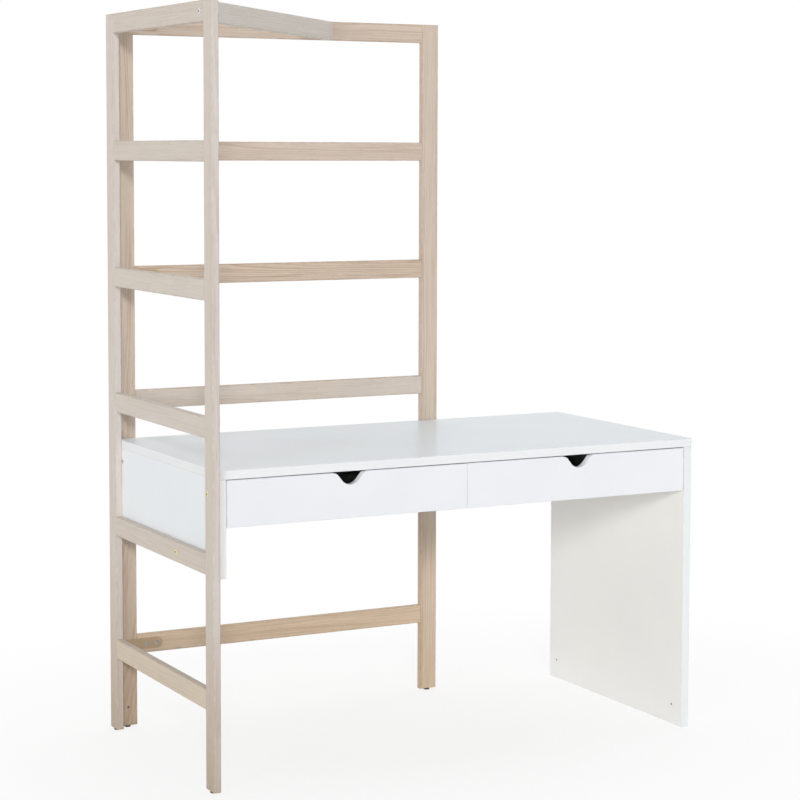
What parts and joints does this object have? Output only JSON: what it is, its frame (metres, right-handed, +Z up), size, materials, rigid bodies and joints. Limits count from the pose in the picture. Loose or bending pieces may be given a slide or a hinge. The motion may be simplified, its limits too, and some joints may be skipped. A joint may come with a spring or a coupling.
{
  "type": "ladder desk",
  "caption": "White desk with inset drawers on roller runners, hung at one end on a tall whitewashed wooden ladder with a rear rail frame and a diagonal top brace.",
  "frame": {"origin": "on the floor under the middle of the whole object's box", "axes": "+X along the desk, away from the ladder; +Y from the sitter's side to the back; +Z up"},
  "size_m": [1.368, 0.7, 1.87],
  "materials": {
    "whitewashed_wood": "whitewashed matt lacquer",
    "white_laminate": "white satin melamine on particle board",
    "drawer_white": "white melamine on thin particle board",
    "runner_steel": "white epoxy coating",
    "nylon": "natural nylon",
    "bracket_steel": "taupe powder coat",
    "zinc": "bright zinc plate",
    "brass": "brass plate",
    "glide_plastic": "dark grey moulded plastic"
  },
  "bodies": {
    "desk": {"back_panel": "white_laminate", "brace_bolts": "zinc", "bracket_screws": "zinc", "centre_divider": "white_laminate", "corner_brackets": "bracket_steel", "foot_glides": "glide_plastic", "insert_nuts": "brass", "ladder_back_post": "whitewashed_wood", "ladder_bolts": "brass", "ladder_front_post": "whitewashed_wood", "ladder_rung_1": "whitewashed_wood", "ladder_rung_2": "whitewashed_wood", "ladder_rung_3": "whitewashed_wood", "ladder_rung_4": "whitewashed_wood", "ladder_rung_5": "whitewashed_wood", "ladder_rung_6": "whitewashed_wood", "left_drawer_cabinet_rails": "runner_steel", "left_panel": "white_laminate", "rear_left_post": "whitewashed_wood", "rear_rail_1": "whitewashed_wood", "rear_rail_2": "whitewashed_wood", "rear_rail_3": "whitewashed_wood", "rear_rail_4": "whitewashed_wood", "rear_rail_5": "whitewashed_wood", "rear_rail_6": "whitewashed_wood", "rear_right_post": "whitewashed_wood", "right_drawer_cabinet_rails": "runner_steel", "right_panel": "white_laminate", "top_brace": "whitewashed_wood", "worktop": "white_laminate"},
    "left_drawer": {"left_drawer_back": "drawer_white", "left_drawer_bottom": "drawer_white", "left_drawer_drawer_rails": "runner_steel", "left_drawer_front": "white_laminate", "left_drawer_left_side": "drawer_white", "left_drawer_right_side": "drawer_white"},
    "left_drawer_left_cabinet_roller": {"left_drawer_left_cabinet_roller": "nylon"},
    "left_drawer_left_drawer_roller": {"left_drawer_left_drawer_roller": "nylon"},
    "left_drawer_right_cabinet_roller": {"left_drawer_right_cabinet_roller": "nylon"},
    "left_drawer_right_drawer_roller": {"left_drawer_right_drawer_roller": "nylon"},
    "right_drawer": {"right_drawer_back": "drawer_white", "right_drawer_bottom": "drawer_white", "right_drawer_drawer_rails": "runner_steel", "right_drawer_front": "white_laminate", "right_drawer_left_side": "drawer_white", "right_drawer_right_side": "drawer_white"},
    "right_drawer_left_cabinet_roller": {"right_drawer_left_cabinet_roller": "nylon"},
    "right_drawer_left_drawer_roller": {"right_drawer_left_drawer_roller": "nylon"},
    "right_drawer_right_cabinet_roller": {"right_drawer_right_cabinet_roller": "nylon"},
    "right_drawer_right_drawer_roller": {"right_drawer_right_drawer_roller": "nylon"}
  },
  "joints": [
    {"name": "left_drawer_slide", "type": "slide", "parent": "desk", "child": "left_drawer", "axis": [0, -1, 0], "range_m": [0, 0.41]},
    {"name": "right_drawer_slide", "type": "slide", "parent": "desk", "child": "right_drawer", "axis": [0, -1, 0], "range_m": [0, 0.41]},
    {"name": "left_drawer_left_cabinet_roller_spin", "type": "hinge", "parent": "desk", "child": "left_drawer_left_cabinet_roller", "pos_m": [-0.63775, -0.302, 0.652], "axis": [1, 0, 0], "range_deg": [0, 2770]},
    {"name": "left_drawer_left_drawer_roller_spin", "type": "hinge", "parent": "left_drawer", "child": "left_drawer_left_drawer_roller", "pos_m": [-0.63775, 0.222, 0.65], "axis": [1, 0, 0], "range_deg": [0, 2770]},
    {"name": "left_drawer_right_cabinet_roller_spin", "type": "hinge", "parent": "desk", "child": "left_drawer_right_cabinet_roller", "pos_m": [-0.00625, -0.302, 0.652], "axis": [1, 0, 0], "range_deg": [0, 2770]},
    {"name": "left_drawer_right_drawer_roller_spin", "type": "hinge", "parent": "left_drawer", "child": "left_drawer_right_drawer_roller", "pos_m": [-0.00625, 0.222, 0.65], "axis": [1, 0, 0], "range_deg": [0, 2770]},
    {"name": "right_drawer_left_cabinet_roller_spin", "type": "hinge", "parent": "desk", "child": "right_drawer_left_cabinet_roller", "pos_m": [0.02425, -0.302, 0.652], "axis": [1, 0, 0], "range_deg": [0, 2770]},
    {"name": "right_drawer_left_drawer_roller_spin", "type": "hinge", "parent": "right_drawer", "child": "right_drawer_left_drawer_roller", "pos_m": [0.02425, 0.222, 0.65], "axis": [1, 0, 0], "range_deg": [0, 2770]},
    {"name": "right_drawer_right_cabinet_roller_spin", "type": "hinge", "parent": "desk", "child": "right_drawer_right_cabinet_roller", "pos_m": [0.65575, -0.302, 0.652], "axis": [1, 0, 0], "range_deg": [0, 2770]},
    {"name": "right_drawer_right_drawer_roller_spin", "type": "hinge", "parent": "right_drawer", "child": "right_drawer_right_drawer_roller", "pos_m": [0.65575, 0.222, 0.65], "axis": [1, 0, 0], "range_deg": [0, 2770]}
  ],
  "couplings": [
    {"joint": "left_drawer_left_cabinet_roller_spin", "follows": "left_drawer_slide", "rad_per_m": 117.65},
    {"joint": "left_drawer_left_drawer_roller_spin", "follows": "left_drawer_slide", "rad_per_m": 117.65},
    {"joint": "left_drawer_right_cabinet_roller_spin", "follows": "left_drawer_slide", "rad_per_m": 117.65},
    {"joint": "left_drawer_right_drawer_roller_spin", "follows": "left_drawer_slide", "rad_per_m": 117.65},
    {"joint": "right_drawer_left_cabinet_roller_spin", "follows": "right_drawer_slide", "rad_per_m": 117.65},
    {"joint": "right_drawer_left_drawer_roller_spin", "follows": "right_drawer_slide", "rad_per_m": 117.65},
    {"joint": "right_drawer_right_cabinet_roller_spin", "follows": "right_drawer_slide", "rad_per_m": 117.65},
    {"joint": "right_drawer_right_drawer_roller_spin", "follows": "right_drawer_slide", "rad_per_m": 117.65}
  ]
}
